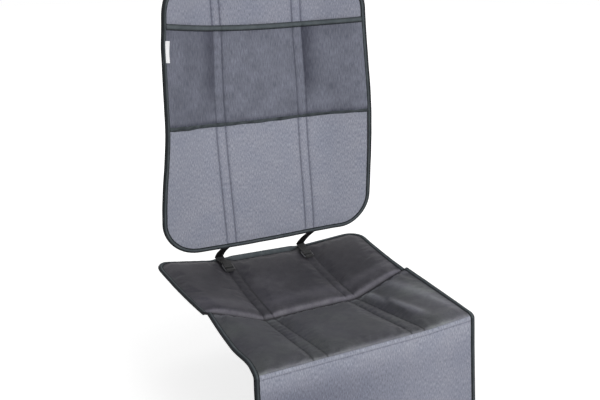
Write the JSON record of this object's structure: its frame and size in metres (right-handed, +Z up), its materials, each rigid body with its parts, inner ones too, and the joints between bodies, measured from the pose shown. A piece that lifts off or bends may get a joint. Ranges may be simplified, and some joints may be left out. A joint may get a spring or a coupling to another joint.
{
  "type": "car seat protector mat",
  "caption": "Protective mat that covers a car seat's backrest, cushion and front edge under a child seat, with a mesh pocket and short adjustable straps.",
  "frame": {"origin": "on the flat underside of the seat's front section, midway across and midway from the front edge to the crease, where the car seat's cushion bears", "axes": "+X to the right as seen from the front, +Y towards the car seat's backrest, +Z up"},
  "size_m": [0.5021, 0.5457, 0.8105],
  "materials": {
    "grey_melange_fabric": "woven melange, matte",
    "dark_pocket_mesh": "fine knitted mesh, matte",
    "charcoal_faux_leather": "smooth faux leather, slight sheen",
    "dark_edge_tape": "woven tape, matte",
    "black_webbing": "woven webbing, matte",
    "black_buckle_plastic": "moulded plastic, satin",
    "white_tag_cloth": "satin label cloth, blank"
  },
  "bodies": {
    "root": {"back_panel": "grey_melange_fabric", "panel_binding": "dark_edge_tape", "pocket_mesh": "dark_pocket_mesh", "pocket_mouth_tape": "dark_edge_tape", "pocket_foot_tape": "dark_edge_tape", "side_tag": "white_tag_cloth", "seat_front_pad": "charcoal_faux_leather", "seat_rear_pad": "charcoal_faux_leather", "front_flap": "grey_melange_fabric", "front_binding": "dark_edge_tape", "rear_binding": "dark_edge_tape", "strap_left": "black_webbing", "strap_right": "black_webbing", "buckle_left": "black_buckle_plastic", "buckle_right": "black_buckle_plastic", "buckle_tab_left": "black_webbing", "buckle_tab_right": "black_webbing", "headrest_strap": "black_webbing"}
  },
  "joints": []
}
